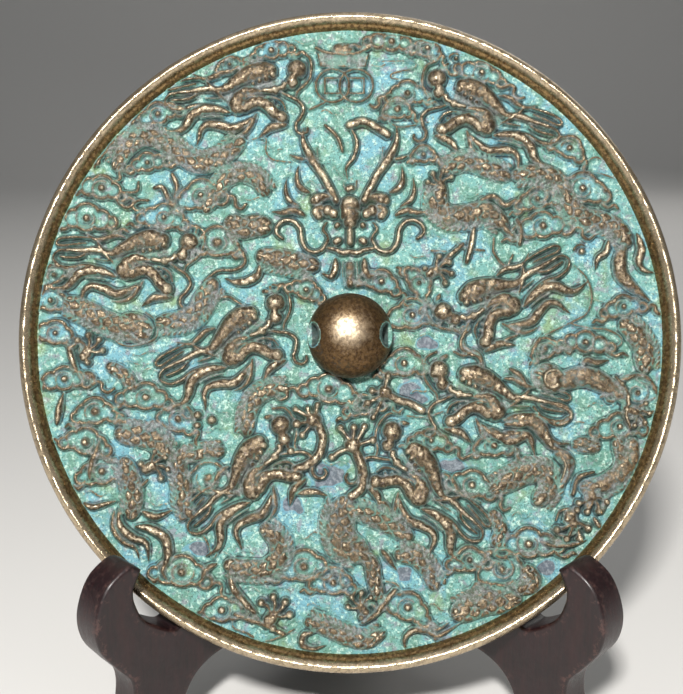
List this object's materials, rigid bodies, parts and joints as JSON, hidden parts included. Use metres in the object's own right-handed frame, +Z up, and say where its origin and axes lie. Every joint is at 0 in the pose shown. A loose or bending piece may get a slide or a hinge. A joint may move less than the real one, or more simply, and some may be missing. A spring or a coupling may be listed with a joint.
{
  "type": "bronze mirror on a stand",
  "caption": "Ancient bronze mirror with dragons among clouds in relief, a pierced knob and turquoise patina, leaning in a cross-lapped dark wooden stand.",
  "frame": {"origin": "on the surface that the stand's feet rest on, at the middle of the bounding box in X and Y", "axes": "+Z up, -Y is the front that the relief side of the mirror faces, +X to the right as seen from the front"},
  "size_m": [0.21, 0.1034, 0.228],
  "materials": {
    "bronze": "worn brown bronze on the high relief, turquoise and green patina in the ground",
    "wood": "dark red-brown varnish, satin"
  },
  "bodies": {
    "root": {"mirror": "bronze", "stand_leaf_left": "wood", "stand_leaf_right": "wood"}
  },
  "joints": []
}
